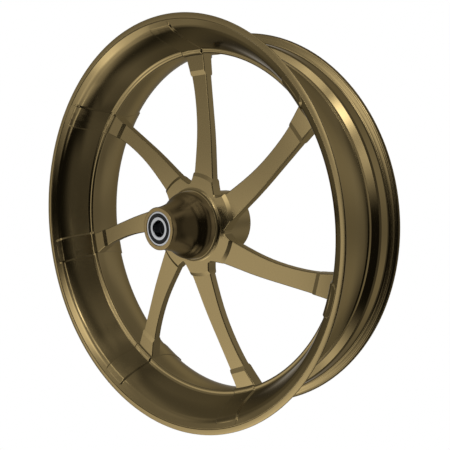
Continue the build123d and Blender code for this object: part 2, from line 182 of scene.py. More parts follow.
def grow(tree, name, values):
    """Run a tree on its own and keep what it makes as a plain mesh object."""
    piece = bpy.data.objects.new(name, bpy.data.meshes.new(name))
    bpy.context.scene.collection.objects.link(piece)
    modifier = piece.modifiers.new(name, "NODES")
    modifier.node_group = tree
    sockets = {item.name: item.identifier for item in tree.interface.items_tree if item.in_out == "INPUT"}
    for label, value in values.items():
        modifier[sockets[label]] = value
    graph = bpy.context.evaluated_depsgraph_get()
    mesh = bpy.data.meshes.new_from_object(piece.evaluated_get(graph))
    piece.modifiers.clear()
    piece.data = mesh
    mesh.calc_loop_triangles()
    print(name, "triangles:", len(mesh.loop_triangles))
    return piece


# %% [markdown]
# The outline of a turned piece is a list of (distance from the axle, place along the axle) in
# millimetres. Real turned edges are never knife sharp, and their small rounds are what catches the
# light, so an outline may name a rounding for a corner: the corner then becomes a short arc, with one
# more point on each side that keeps the flats beside it looking flat.

# %% Outlines in millimetres
REACH = 0.4               # a rounding takes at most this share of the straight on each side of it
GUARD = 1.2               # where the extra points stand, in lengths of the rounding's reach


def arc(start, middle, end, steps):
    """Points of the arc through three points, without its end."""
    (ax, ay), (bx, by), (cx, cy) = start, middle, end
    d = 2 * (ax * (by - cy) + bx * (cy - ay) + cx * (ay - by))
    a2, b2, c2 = ax * ax + ay * ay, bx * bx + by * by, cx * cx + cy * cy
    ux = (a2 * (by - cy) + b2 * (cy - ay) + c2 * (ay - by)) / d
    uy = (a2 * (cx - bx) + b2 * (ax - cx) + c2 * (bx - ax)) / d
    radius = math.hypot(ax - ux, ay - uy)
    first, last = math.atan2(ay - uy, ax - ux), math.atan2(cy - uy, cx - ux)
    half = math.atan2(by - uy, bx - ux)
    turn = (last - first) % (2 * math.pi)
    if (half - first) % (2 * math.pi) > turn:
        turn -= 2 * math.pi
    angles = [first + turn * i / steps for i in range(steps)]
    return [(ux + radius * math.cos(angle), uy + radius * math.sin(angle), 0) for angle in angles]


def soften(corners, steps=4):
    """Replace each corner of a closed outline that names a rounding by an arc."""
    points = []
    for i, (r, y, rounding) in enumerate(corners):
        here = Vector((r, y))
        if not rounding:
            points.append(here)
            continue
        back = Vector(corners[i - 1][:2]) - here
        ahead = Vector(corners[(i + 1) % len(corners)][:2]) - here
        half = back.angle(ahead) / 2
        reach = min(rounding / math.tan(half), REACH * back.length, REACH * ahead.length)
        back.normalize()
        ahead.normalize()
        radius = reach * math.tan(half)
        centre = here + (back + ahead).normalized() * radius / math.sin(half)
        points.append(here + back * reach * GUARD)
        for k in range(steps + 1):
            start, end = here + back * reach - centre, here + ahead * reach - centre
            points.append(centre + (start * (1 - k / steps) + end * (k / steps)).normalized() * radius)
        points.append(here + ahead * reach * GUARD)
    return points


def outline_object(name, points):
    """A closed curve in the X-Y plane that a tree can sweep: X is the radius, Y the place on the axle."""
    curve = bpy.data.curves.new(name, "CURVE")
    curve.dimensions = "3D"
    line = curve.splines.new("POLY")
    line.points.add(len(points) - 1)
    line.use_cyclic_u = True
    for place, (r, y) in zip(line.points, points):
        place.co = (r * MM, y * MM, 0, 1)
    made = bpy.data.objects.new(name, curve)
    bpy.context.scene.collection.objects.link(made)
    return made


print("points that round a corner of a square:", len(soften([(0, 0, 1), (9, 0, 0), (9, 9, 0), (0, 9, 0)])) - 3)

# %% The tree that turns an outline
def turned_nodes(tree, outline, steps, base, corner):
    """Sweep the outline round the axle; the base radius only carries the sweep and cancels out."""
    shape = add_node(tree, "GeometryNodeObjectInfo", {"Object": outline})
    inward = add_node(tree, "ShaderNodeCombineXYZ", {"X": add_node(tree, "ShaderNodeMath", {0: base, 1: -1.0},
                      operation="MULTIPLY").outputs[0]})
    shifted = add_node(tree, "GeometryNodeTransform", {"Geometry": shape.outputs["Geometry"],
                       "Translation": inward.outputs[0]})
    circle = add_node(tree, "GeometryNodeCurvePrimitiveCircle", {"Resolution": steps, "Radius": base})
    level = add_node(tree, "GeometryNodeSetCurveNormal", {"Curve": circle.outputs["Curve"]}, mode="Z_UP")
    swept = add_node(tree, "GeometryNodeCurveToMesh", {"Curve": level.outputs[0],
                     "Profile Curve": shifted.outputs[0]})
    upright = add_node(tree, "GeometryNodeTransform", {"Geometry": swept.outputs[0],
                       "Rotation": (math.radians(90), 0, 0)})
    bend = add_node(tree, "GeometryNodeInputMeshEdgeAngle")
    soft = add_node(tree, "FunctionNodeCompare", {"A": bend.outputs["Unsigned Angle"], "B": corner},
                    operation="LESS_THAN")
    smooth = add_node(tree, "GeometryNodeSetShadeSmooth", {"Geometry": upright.outputs[0],
                      "Shade Smooth": True})
    return add_node(tree, "GeometryNodeSetShadeSmooth", {"Geometry": smooth.outputs[0],
                    "Shade Smooth": soft.outputs[0]}, domain="EDGE").outputs[0]


TURNED_INPUTS = [("Outline", "NodeSocketObject", None), ("Steps", "NodeSocketInt", 240),
                 ("Base Radius", "NodeSocketFloat", 0.1), ("Sharp Above", "NodeSocketFloat", math.radians(32)),
                 ("Material", "NodeSocketMaterial", None)]
turned_tree, given = new_tree("turned piece", TURNED_INPUTS)
body = turned_nodes(turned_tree, given.outputs["Outline"], given.outputs["Steps"], given.outputs["Base Radius"],
                    given.outputs["Sharp Above"])
end_tree(turned_tree, body, given.outputs["Material"])
print("inputs of the turned piece:", [item[0] for item in TURNED_INPUTS])

# %% [markdown]
# The rim is the main piece. Its outline runs from the fine groove beside the flat land of the near lip
# down the dish, over the half-round bead to the plain barrel, out to the far lip, and back along the
# tyre's side: seat, hump, drop centre and seat again. The dish is a steep bevel that a round turns into
# a long wall, which flattens slowly towards its foot.

# %% Sizes of the rim
SEAT_R, LIP_R, BARREL_R = 292.1, 306.1, 265.7
LIP_Y, FLANGE_Y = 75.35, 69.85
LAND_W, GROOVE_W, GROOVE_D, LAND_DROP = 7.4, 0.9, 1.1, 0.75
EDGE = 0.35                        # rounding of turned edges
BEVEL_ANGLE, BEVEL_L, BEVEL_ROUND = 56.0, 7.0, 19.0
DISH_TOP, DISH_FOOT = 25.5, 14.0   # angle of the dish wall to the axle, at its top and foot
DISH_FOOT_R, DISH_FOOT_Y = BARREL_R + 5.2, -16.8
BEAD_R, BEAD_Y, BEAD_EDGE = 3.2, -6.7, 0.25
KNEE = 3.3                         # the round where the dish wall turns in to the bead
FLARE_R, FLARE_Y, FLARE_MID, FLARE_END = 93.4, 6.9, 38.6, 70.3
WELL_R, WELL_ROUND, RISE_Y = 273.4, 120.0, -43.5
FLAT_FROM, FLAT_TO = 4.0, 12.0     # where the drop centre is level
print("rim in mm: diameter", 2 * LIP_R, "width over the lips", 2 * LIP_Y, "at the tyre's seats", 2 * SEAT_R)

# %% The face of the rim, from bevel to far lip
def turn_wall(start, angle0, angle1, radius, steps):
    """Arc that turns a wall from one angle to another, and the point where it ends."""
    def at(angle):
        a, b = math.radians(angle), math.radians(angle0)
        r, y = start[0] - radius * (math.cos(a) - math.cos(b)), start[1] + radius * (math.sin(b) - math.sin(a))
        return (r, y, 0)
    return [at(angle0 + (angle1 - angle0) * i / steps) for i in range(steps)], at(angle1)


land_r = LIP_R - LAND_W
bevel = (land_r - GROOVE_W, -(LIP_Y - LAND_DROP - GROOVE_D))
tilt = math.radians(BEVEL_ANGLE)
bevel_end = (bevel[0] - BEVEL_L * math.sin(tilt), bevel[1] + BEVEL_L * math.cos(tilt))
round_points, wall_top = turn_wall(bevel_end, BEVEL_ANGLE, DISH_TOP, BEVEL_ROUND, 12)
top, low = math.radians(DISH_TOP), math.radians(DISH_FOOT)
fall, run = wall_top[0] - DISH_FOOT_R, DISH_FOOT_Y - wall_top[1]
wall_radius = (fall * math.cos(low) - run * math.sin(low)) / (
    (math.cos(low) - math.cos(top)) * math.cos(low) - (math.sin(top) - math.sin(low)) * math.sin(low))
wall_points, wall_end = turn_wall(wall_top, DISH_TOP, DISH_FOOT, wall_radius, 14)
bead_start = BEAD_Y - BEAD_R
knee_r = DISH_FOOT_R - (bead_start - DISH_FOOT_Y) * math.tan(low)
knee_top = (knee_r + KNEE * math.tan(low), bead_start - KNEE)
knee_low = (knee_r - KNEE, bead_start)


def flare(y):
    return BARREL_R + FLARE_R - math.sqrt(FLARE_R ** 2 - (y - FLARE_Y) ** 2)


near_face = [(*bevel, EDGE)]
near_face += [(*bevel_end, 0)] + round_points[1:] + wall_points + [wall_end]
near_face += arc(knee_top, (knee_r - KNEE * 0.22, bead_start - KNEE * 0.29), knee_low, 8) + [(*knee_low, 0)]
near_face += [(BARREL_R, bead_start, BEAD_EDGE)]
near_face += arc((BARREL_R, bead_start), (BARREL_R - BEAD_R, BEAD_Y), (BARREL_R, BEAD_Y + BEAD_R), 16)[1:]
near_face += [(BARREL_R, BEAD_Y + BEAD_R, BEAD_EDGE)]
near_face += arc((BARREL_R, FLARE_Y), (flare(FLARE_MID), FLARE_MID), (flare(FLARE_END), FLARE_END), 36)
near_face += [(flare(FLARE_END), FLARE_END, 0)]
print("dish wall in mm: depth", round(wall_end[1] - wall_top[1], 1), "bending radius", round(wall_radius))

# %% The lips and the tyre's side
LIP_ROUND, MIDWAY = 1.0, 0.293     # rounding of the crest, and the share of it that its middle lies inside
BACK_DEPTH, TOE_UP, TOE_IN, TOE_DIP = 6.5, 3.9, 4.2, 0.35   # the lip's back, and its toe on the seat


def lip_points(side):
    """The lip from its groove to the foot of the hump; side is -1 near, +1 far."""
    crest, peak = (LIP_R - LIP_ROUND, side * LIP_Y), (LIP_R, side * (LIP_Y - LIP_ROUND))
    crest_mid = (LIP_R - MIDWAY * LIP_ROUND, side * (LIP_Y - MIDWAY * LIP_ROUND))
    back, root = (LIP_R - BACK_DEPTH, side * FLANGE_Y), (SEAT_R + TOE_UP, side * FLANGE_Y)
    seat = (SEAT_R - TOE_DIP, side * (FLANGE_Y - TOE_IN))
    return ([(land_r - GROOVE_W / 2, side * (LIP_Y - LAND_DROP - GROOVE_D * 1.5), 0.1),
             (land_r, side * (LIP_Y - LAND_DROP), 0.22)]
            + arc(crest, crest_mid, peak, 5) + arc(peak, (LIP_R - 1.9, side * (FLANGE_Y + 1.35)), back, 8)
            + [(*back, 0)] + arc(root, (SEAT_R + 0.95, side * (FLANGE_Y - 1.23)), seat, 8)
            + [(*seat, 0), (SEAT_R - 1.6, side * 51.6, 0.8), (SEAT_R - 3.6, side * 48.9, 0.8)])


def smooth_step(t):
    """Rises from 0 to 1 without a corner at either end."""
    return t * t * (3 - 2 * t)


def well_rise(y):
    return WELL_R + WELL_ROUND - math.sqrt(WELL_ROUND ** 2 - (FLAT_FROM - y) ** 2)


rise_mid = (FLAT_FROM + RISE_Y) / 2
tyre_bed = [(WELL_R + 6.9, 42.7, 0.5), (WELL_R + 6.5, 38.3, 0.4), (WELL_R + 4.5, 37.3, 0.6)]
tyre_bed += arc((WELL_R + 4.5, 37.3), (WELL_R + 1.17, 24.8), (WELL_R, FLAT_TO), 8)[1:] + [(WELL_R, FLAT_TO, 0)]
tyre_bed += arc((WELL_R, FLAT_FROM), (well_rise(rise_mid), rise_mid), (well_rise(RISE_Y), RISE_Y), 16)
tyre_bed += [(well_rise(RISE_Y), RISE_Y, 0.6)]
rim_corners = near_face + [(bevel[0], -bevel[1], EDGE)] + lip_points(1) + tyre_bed + lip_points(-1)[::-1]
rim_outline = soften(rim_corners[::-1])
print("points in the rim's outline:", len(rim_outline))

# %% [markdown]
# A radial hole for the tyre valve goes through the drop centre behind one spoke, with a flat spot face
# on each side for the seal and the washer. The rim has its own tree, which uses the same sweep and then
# takes three cylinders away from it, as the drill and the two facing cutters do.

# %% The rim, turned and drilled
VALVE_ANGLE, VALVE_Y = 89.0, 27.5
SPOT_OUT, SPOT_IN = WELL_R + 1.2, BARREL_R + 3.2       # how far off the axle the two spot faces lie
CLEAR_OUT, CLEAR_IN = WELL_R + 12, BARREL_R - 11       # places well clear of the metal on both sides
# the drill and the two facing cutters: radius, and from where to where off the axle
CUTTERS = ((4.15, CLEAR_IN, CLEAR_OUT), (9.0, SPOT_OUT, CLEAR_OUT), (8.5, CLEAR_IN, SPOT_IN))


def cutter_nodes(tree, radius, r0, r1, angle, y):
    """A cylinder on a radial line from one distance off the axle to another."""
    rod = add_node(tree, "GeometryNodeMeshCylinder", {"Vertices": 48, "Radius": radius * MM,
                   "Depth": (r1 - r0) * MM})
    laid = add_node(tree, "GeometryNodeTransform", {"Geometry": rod.outputs["Mesh"],
                    "Translation": ((r0 + r1) / 2 * MM, y * MM, 0), "Rotation": (0, math.radians(90), 0)})
    return add_node(tree, "GeometryNodeTransform", {"Geometry": laid.outputs[0], "Rotation": angle}).outputs[0]


rim_tree, given = new_tree("turned rim with valve hole",
                           TURNED_INPUTS + [("Valve Angle", "NodeSocketFloat", 0.0)])
blank = turned_nodes(rim_tree, given.outputs["Outline"], given.outputs["Steps"], given.outputs["Base Radius"],
                     given.outputs["Sharp Above"])
lean = add_node(rim_tree, "ShaderNodeCombineXYZ", {"Y": given.outputs["Valve Angle"]})
cut = add_node(rim_tree, "GeometryNodeMeshBoolean", operation="DIFFERENCE", solver="MANIFOLD")
rim_tree.links.new(blank, cut.inputs[0])
for radius, r0, r1 in CUTTERS:
    rim_tree.links.new(cutter_nodes(rim_tree, radius, r0, r1, lean.outputs[0], VALVE_Y), cut.inputs[1])
end_tree(rim_tree, cut.outputs[0], given.outputs["Material"])

rim_line = outline_object("rim outline", rim_outline)
rim = grow(rim_tree, "turned_rim", {"Outline": rim_line, "Steps": 288, "Base Radius": 0.2,
           "Valve Angle": math.radians(-VALVE_ANGLE), "Material": finishes["rim_alloy"]})
bpy.data.objects.remove(rim_line)
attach(rim, "wheel")
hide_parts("rim")

# %% [markdown]
# The hub's nose is turned too. Its bell is one smooth curve that opens from the nose ring to the low boss
# of the spokes, so a few stations along it are joined by a smooth curve, much as a flexible ruler would.
# Inside, the bore steps up at both ends to hold the bearings.

# %% The hub, turned from one outline
HUB_END, BOSS_Y, BRG_IN = 78.9, -11.5, 62.9
NOSE_R, TUBE_R, TUBE_BORE_R, BRG_R = 32.3, 34.0, 23.5, 26.0
BELL = [(NOSE_R, -72.0), (34.5, -61.0), (37.6, -50.0), (42.0, -39.0), (47.6, -30.2), (52.4, -22.0),
        (54.1, BOSS_Y)]


def smooth_line(stations, steps):
    """Points of a smooth curve through the stations, without its end."""
    ends = [Vector(stations[0]) * 2 - Vector(stations[1]), Vector(stations[-1]) * 2 - Vector(stations[-2])]
    knots = [ends[0]] + [Vector(s) for s in stations] + [ends[1]]
    points = []
    for a, b, c, d in zip(knots, knots[1:], knots[2:], knots[3:]):
        for i in range(steps):
            t = i / steps
            p = 0.5 * (2 * b + (c - a) * t + (2 * a - 5 * b + 4 * c - d) * t * t
                       + (3 * b - a - 3 * c + d) * t ** 3)
            points.append((p[0], p[1], 0))
    return points


hub_corners = [(BRG_R, -HUB_END, 0.3), (NOSE_R, -HUB_END, 1.2)] + smooth_line(BELL, 7)
hub_corners += [(*BELL[-1], 0.2), (TUBE_R, BOSS_Y, 0), (TUBE_R, HUB_END, 1.0), (BRG_R, HUB_END, 0.3),
                (BRG_R, BRG_IN, 0), (TUBE_BORE_R, BRG_IN, 0), (TUBE_BORE_R, -BRG_IN, 0), (BRG_R, -BRG_IN, 0)]
hub_line = outline_object("hub outline", soften(hub_corners))
hub = grow(turned_tree, "turned_hub", {"Outline": hub_line, "Steps": 144, "Material": finishes["hub_alloy"]})
bpy.data.objects.remove(hub_line)
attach(hub, "wheel")
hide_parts("hub_nose")

# %% [markdown]
# Each bearing is closed by two rubber seals, moulded on a steel washer. What the eye sees is a black
# ring with a raised rim that snaps into the outer ring, a shallow groove and a thin lip that runs on the
# inner ring. All four are the same outline, set at another place and mirrored for the other side.

# %% Four moulded seals
SEAL_IN_R, SEAL_OUT_R, SEAL_T = 17.16, 23.1, 1.3
BRG_Y, BRG_HALF = 70.4, 7.0        # middle of a bearing on the axle, and half its width


def seal_corners(face, inner_side):
    """Outline of a seal whose visible face lies at this place on the axle."""
    s = inner_side
    return [(SEAL_IN_R, face + s * 0.35, 0.1), (SEAL_IN_R + 0.7, face, 0.2),
            (SEAL_IN_R + 1.3, face + s * 0.3, 0.15), (SEAL_OUT_R - 1.3, face + s * 0.3, 0.15),
            (SEAL_OUT_R - 0.9, face, 0.15), (SEAL_OUT_R, face, 0.2),
            (SEAL_OUT_R, face + s * SEAL_T, 0), (SEAL_IN_R, face + s * SEAL_T, 0)]


for bearing, centre in (("near", -BRG_Y), ("far", BRG_Y)):
    for side, sign in (("in", -1), ("out", 1)):
        outward = sign * math.copysign(1, centre)
        corners = seal_corners(centre + outward * BRG_HALF, -outward)
        if outward > 0:
            corners = corners[::-1]
        seal_line = outline_object("seal outline", soften(corners, 3))
        seal = grow(turned_tree, bearing + "_seal_" + side + "_moulded", {"Outline": seal_line, "Steps": 72,
                    "Material": finishes["seal_rubber"]})
        bpy.data.objects.remove(seal_line)
        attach(seal, "wheel")
        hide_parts(bearing + "_seal_" + side)

# %% [markdown]
# The spokes are milled and then tumbled, so the narrow faces along their edges aren't flat chamfers to
# the eye but small rounds that run a highlight along every spoke. Bevelling a solid that came from CAD
# would tear its many thin triangles, so the shape stays as it is and only the shading turns: a copy of
# the star is merged, and each corner of an edge face takes the normal of the large face that it
# touches. The edge then shades as a round between the front face and the flank. Which face is which is
# told by how much of its normal lies along the axle.

# %% The spoke star with rounded edges
MERGE, SLIVER = 0.002, 0.001       # points and edges nearer than this, in millimetres, are joined
EDGE_FROM, EDGE_TO = 0.69, 0.725   # an edge face stands at 45 degrees, so its normal is 0.707 along the axle
FRONT, FLANK = 0.985, 0.2          # a front face has more than the first, a flank less than the second
ALIKE = 0.93                       # faces turned less than about 21 degrees apart shade as one surface


def rounded_copy(node, name, material):
    """A merged copy of a CAD node whose 45 degree edge faces shade as rounds."""
    mesh = node.data.copy()
    mesh.transform(node.matrix_world)
    shell = bmesh.new()
    shell.from_mesh(mesh)
    bmesh.ops.remove_doubles(shell, verts=shell.verts, dist=MERGE * MM)
    bmesh.ops.dissolve_degenerate(shell, edges=shell.edges, dist=SLIVER * MM)
    shell.normal_update()
    normals = []
    edge_faces = 0
    for face in shell.faces:
        narrow = EDGE_FROM < abs(face.normal.y) < EDGE_TO
        edge_faces += narrow
        for corner in face.loops:
            others = [f for f in corner.vert.link_faces if f.calc_area() > 0]
            if narrow:
                broad = [f for f in others if abs(f.normal.y) > FRONT and f.normal.y * face.normal.y > 0]
                flank = [f for f in others if abs(f.normal.y) < FLANK]
                near = broad or flank or [face]
            else:
                near = [f for f in others if f.normal.dot(face.normal) > ALIKE]
            total = Vector((0, 0, 0))
            for f in near or [face]:
                total += f.normal * f.calc_area()
            normals.append(total.normalized() if total.length > 0 else face.normal.copy())
    for face in shell.faces:
        face.smooth = True
    shell.to_mesh(mesh)
    shell.free()
    mesh.normals_split_custom_set([tuple(n) for n in normals])
    mesh.materials.clear()
    mesh.materials.append(material)
    made = bpy.data.objects.new(name, mesh)
    bpy.context.scene.collection.objects.link(made)
    print(name, "faces:", len(mesh.polygons), "of them edge faces:", edge_faces)
    return made


star = rounded_copy(frame["nodes"]["spider"], "spoke_star", finishes["star_alloy"])
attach(star, "wheel")
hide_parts("spider")

# %% [markdown]
# The feet of the spokes are thin pads that lie on the dish wall. Their edges are rounded after milling
# and run out into the dish with a hollow, and this wave of the surface shows as a bright line with a dark
# one beside it. It would be hard to bevel on the curved solid, so a thin strip with the wave as its
# section is laid round each pad. Any place on the dish is given by three lengths: sideways, along the
# wall, and up from it. The wall is measured from the inner end of the lip's bevel, and the strip turns
# round the pad there: the pad's last few millimetres, on the bevel, keep the plain edges of the solid.
# The strip is worked out once for the upright spoke, and a tree repeats it for all seven.

# %% Places on the dish wall
SPOKES, LIFT = 7, 2.0               # number of spokes, and thickness of their pads
PAD_FOOT_Y, FREE = -5.8, 0.96       # the pad's last place on the axle, and the share of the lift kept free
SIDE_A = [(-10.8, -13.7), (-14.2, 3.4), (-22.4, 33.5)]   # sides of a pad: (sideways, height over the barrel)
SIDE_B = [(24.6, -13.7), (24.4, 2.7), (17.1, 34.0)]

skin = [Vector(p[:2]) for p in near_face]
stations = []                       # length along the wall, point on it, direction square to it
length = 0.0
for before, here, after in zip(skin[:-2], skin[1:-1], skin[2:]):
    along = (after - before).normalized()
    square = Vector((-along[1], along[0]))
    raised = here + square * LIFT
    if raised[1] < PAD_FOOT_Y and min((raised - q).length for q in skin) > LIFT * FREE:
        length += (here - stations[-1][1]).length if stations else 0.0
        stations.append((length, here, square))


def on_dish(x, s, height):
    """A point of the dish wall, this far sideways, along the wall and up from it."""
    for (s0, p0, n0), (s1, p1, n1) in zip(stations, stations[1:]):
        if s <= s1:
            break
    share = (s - s0) / (s1 - s0)
    r, y = p0.lerp(p1, share) + n0.lerp(n1, share).normalized() * height
    return Vector((x, y, math.sqrt(r * r - x * x)))


def side_x(side, s):
    """Sideways place of a pad's edge at a length along the wall."""
    x = side[1][0]
    for _ in range(4):
        above = on_dish(x, s, LIFT)[2] - BARREL_R
        for (x0, h0), (x1, h1) in zip(side, side[1:]):
            if above <= h1:
                break
        x = x0 + (x1 - x0) * (above - h0) / (h1 - h0)
    return x


print("length of the wall beside a pad in mm:", round(length, 1), "measured at", len(stations), "places")

# %% One strip round a pad
TURN_ROUND, CORNER = 4.5, 1.3      # rounding of the strip's corners, and how much of it a corner takes up
WAVE_W, WAVE_STEPS = 3.5, 8
SKIN = 0.05               # the strip starts this much over the pad and ends this much under the dish
LAP, SINK, TAIL = 0.8, 0.9, 0.7    # how far its back reaches over the pad, into the pad and into the dish
section = [(-LAP, LIFT + SKIN)]
for t in (k / WAVE_STEPS for k in range(WAVE_STEPS + 1)):
    section.append((WAVE_W * t, (LIFT + SKIN) * (1 - smooth_step(t)) - SKIN * t))
section += [(WAVE_W - TAIL, -TAIL), (-LAP, LIFT - SINK)]

lengths = [s for s, p, n in stations if s > TURN_ROUND * CORNER]
flank_a = [(side_x(SIDE_A, s), s) for s in lengths][::-1]
flank_b = [(side_x(SIDE_B, s), s) for s in lengths]
corners = [(*flank_a[-1], 0), (side_x(SIDE_A, 0), 0, TURN_ROUND), (side_x(SIDE_B, 0), 0, TURN_ROUND),
           (*flank_b[0], 0)]
outline = flank_a[:-1] + [tuple(p[:2]) for p in soften(corners, 7)] + flank_b[1:]
outline = [Vector(p[:2]) for p in outline]
one = bmesh.new()
rings = []
for before, here, after in zip(outline[:1] + outline, outline, outline[1:] + outline[-1:]):
    along = (after - before).normalized()
    outward = Vector((along[1], -along[0]))
    rings.append([one.verts.new(on_dish(*(here + outward * out), up) * MM) for out, up in section])
for ring, following in zip(rings, rings[1:]):
    for k in range(len(section)):
        one.faces.new((ring[k - 1], ring[k], following[k], following[k - 1]))
one.faces.new(rings[0])
one.faces.new(rings[-1][::-1])
bmesh.ops.recalc_face_normals(one, faces=one.faces)
strip_mesh = bpy.data.meshes.new("pad edge")
one.to_mesh(strip_mesh)
one.free()
strip = bpy.data.objects.new("pad edge", strip_mesh)
bpy.context.scene.collection.objects.link(strip)
print("places along the strip:", len(rings), "points in its section:", len(section))

# %% Seven pad edges
edge_tree, given = new_tree("rounded pad edges", [
    ("Strip", "NodeSocketObject", None), ("Copies", "NodeSocketInt", SPOKES),
    ("Sharp Above", "NodeSocketFloat", math.radians(50)), ("Material", "NodeSocketMaterial", None)])
shape = add_node(edge_tree, "GeometryNodeObjectInfo", {"Object": given.outputs["Strip"]})
bend = add_node(edge_tree, "GeometryNodeInputMeshEdgeAngle")
soft = add_node(edge_tree, "FunctionNodeCompare", {"A": bend.outputs["Unsigned Angle"],
                "B": given.outputs["Sharp Above"]}, operation="LESS_THAN")
smooth = add_node(edge_tree, "GeometryNodeSetShadeSmooth", {"Geometry": shape.outputs["Geometry"],
                  "Shade Smooth": True})
eased = add_node(edge_tree, "GeometryNodeSetShadeSmooth", {"Geometry": smooth.outputs[0],
                 "Shade Smooth": soft.outputs[0]}, domain="EDGE")
axle = add_node(edge_tree, "GeometryNodeMeshLine", {"Count": given.outputs["Copies"], "Offset": (0, 0, 0)})
number = add_node(edge_tree, "GeometryNodeInputIndex")
pitch = add_node(edge_tree, "ShaderNodeMath", {0: 2 * math.pi, 1: given.outputs["Copies"]}, operation="DIVIDE")
angle = add_node(edge_tree, "ShaderNodeMath", {0: number.outputs[0], 1: pitch.outputs[0]}, operation="MULTIPLY")
turn = add_node(edge_tree, "ShaderNodeCombineXYZ", {"Y": angle.outputs[0]})
copies = add_node(edge_tree, "GeometryNodeInstanceOnPoints", {"Points": axle.outputs[0],
                  "Instance": eased.outputs[0], "Rotation": turn.outputs[0]})
end_tree(edge_tree, copies.outputs[0], given.outputs["Material"])
pad_edges = grow(edge_tree, "pad_edges", {"Strip": strip, "Material": finishes["star_alloy"]})
bpy.data.objects.remove(strip)
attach(pad_edges, "wheel")

# %% [markdown]
# The valve is a brass stem with a fine thread, closed by a moulded cap with grip ribs. The thread winds
# round the stem at a pitch of 0.8 mm, so its tree lays a spiral curve round the turned stem and sweeps a
# small ridge along it. The cap's tree sets the same rib at equal steps round the turned cap. Both are
# made upright on the Y axis and then laid on the valve's radial line through the rim.

# %% Threaded valve stem
VALVE_TIP, VALVE_R = 242.5, 3.85
RIDGE = 0.48              # half the width of the thread's ridge, in pitches


def lay_on_valve(piece):
    """Move a piece from the Y axis to the radial line of the valve, and keep the place in its mesh."""
    along = Matrix.Rotation(math.radians(-90), 4, "Z")
    out = Matrix.Rotation(math.radians(-VALVE_ANGLE), 4, "Y")
    piece.data.transform(out @ Matrix.Translation((0, VALVE_Y * MM, 0)) @ along)


thread_tree, given = new_tree("threaded stem", TURNED_INPUTS + [("Pitch", "NodeSocketFloat", 0.0008),
                              ("Turns", "NodeSocketFloat", 22.0), ("Thread Start", "NodeSocketFloat", 0.0),
                              ("Crest Radius", "NodeSocketFloat", VALVE_R * MM)])
core = turned_nodes(thread_tree, given.outputs["Outline"], given.outputs["Steps"], given.outputs["Base Radius"],
                    given.outputs["Sharp Above"])
ridge_half = add_node(thread_tree, "ShaderNodeMath", {0: given.outputs["Pitch"], 1: RIDGE},
                      operation="MULTIPLY")
centre_line = add_node(thread_tree, "ShaderNodeMath", {0: given.outputs["Crest Radius"],
                       1: ridge_half.outputs[0]}, operation="SUBTRACT")
rise = add_node(thread_tree, "ShaderNodeMath", {0: given.outputs["Pitch"], 1: given.outputs["Turns"]},
                operation="MULTIPLY")
helix = add_node(thread_tree, "GeometryNodeCurveSpiral", {"Resolution": 28, "Rotations": given.outputs["Turns"],
                 "Start Radius": centre_line.outputs[0], "End Radius": centre_line.outputs[0],
                 "Height": rise.outputs[0]})
ridge = add_node(thread_tree, "GeometryNodeCurvePrimitiveCircle", {"Resolution": 4,
                 "Radius": ridge_half.outputs[0]})
wound = add_node(thread_tree, "GeometryNodeCurveToMesh", {"Curve": helix.outputs["Curve"],
                 "Profile Curve": ridge.outputs["Curve"], "Fill Caps": True})
start = add_node(thread_tree, "ShaderNodeCombineXYZ", {"Y": given.outputs["Thread Start"]})
laid = add_node(thread_tree, "GeometryNodeTransform", {"Geometry": wound.outputs[0],
                "Translation": start.outputs[0], "Rotation": (math.radians(-90), 0, 0)})
both = add_node(thread_tree, "GeometryNodeJoinGeometry")
thread_tree.links.new(core, both.inputs[0])
thread_tree.links.new(laid.outputs[0], both.inputs[0])
end_tree(thread_tree, both.outputs[0], given.outputs["Material"])

stem_corners = [(2.0, 244.0, 0), (2.0, 278.8, 0), (7.4, 278.8, 0.3), (7.4, 276.8, 0.2), (VALVE_R, 276.8, 0),
                (VALVE_R, 262.8, 0.1), (3.45, 262.4, 0.1), (3.45, 244.0, 0.3)]
stem_line = outline_object("stem outline", soften(stem_corners[::-1], 2))
stem = grow(thread_tree, "threaded_valve_stem", {"Outline": stem_line, "Steps": 40, "Base Radius": 0.003,
            "Thread Start": 244.4 * MM, "Material": finishes["valve_brass"]})
bpy.data.objects.remove(stem_line)
lay_on_valve(stem)
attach(stem, "wheel")
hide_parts("valve_stem")

# %% Ribbed valve cap
rib_tree, given = new_tree("ribbed cap", TURNED_INPUTS + [("Ribs", "NodeSocketInt", 24),
                           ("Rib Circle", "NodeSocketFloat", 4.92 * MM), ("Rib Start", "NodeSocketFloat", 0.0),
                           ("Rib Length", "NodeSocketFloat", 6.0 * MM)])
body = turned_nodes(rib_tree, given.outputs["Outline"], given.outputs["Steps"], given.outputs["Base Radius"],
                    given.outputs["Sharp Above"])
ring = add_node(rib_tree, "GeometryNodeMeshCircle", {"Vertices": given.outputs["Ribs"],
                "Radius": given.outputs["Rib Circle"]})
rib = add_node(rib_tree, "GeometryNodeMeshCylinder", {"Vertices": 8, "Radius": 0.26 * MM,
               "Depth": given.outputs["Rib Length"]})
ribs = add_node(rib_tree, "GeometryNodeInstanceOnPoints", {"Points": ring.outputs[0],
                "Instance": rib.outputs["Mesh"]})
rib_place = add_node(rib_tree, "ShaderNodeCombineXYZ", {"Y": given.outputs["Rib Start"]})
laid = add_node(rib_tree, "GeometryNodeTransform", {"Geometry": ribs.outputs[0],
                "Translation": rib_place.outputs[0], "Rotation": (math.radians(90), 0, 0)})
both = add_node(rib_tree, "GeometryNodeJoinGeometry")
rib_tree.links.new(body, both.inputs[0])
rib_tree.links.new(laid.outputs[0], both.inputs[0])
end_tree(rib_tree, both.outputs[0], given.outputs["Material"])

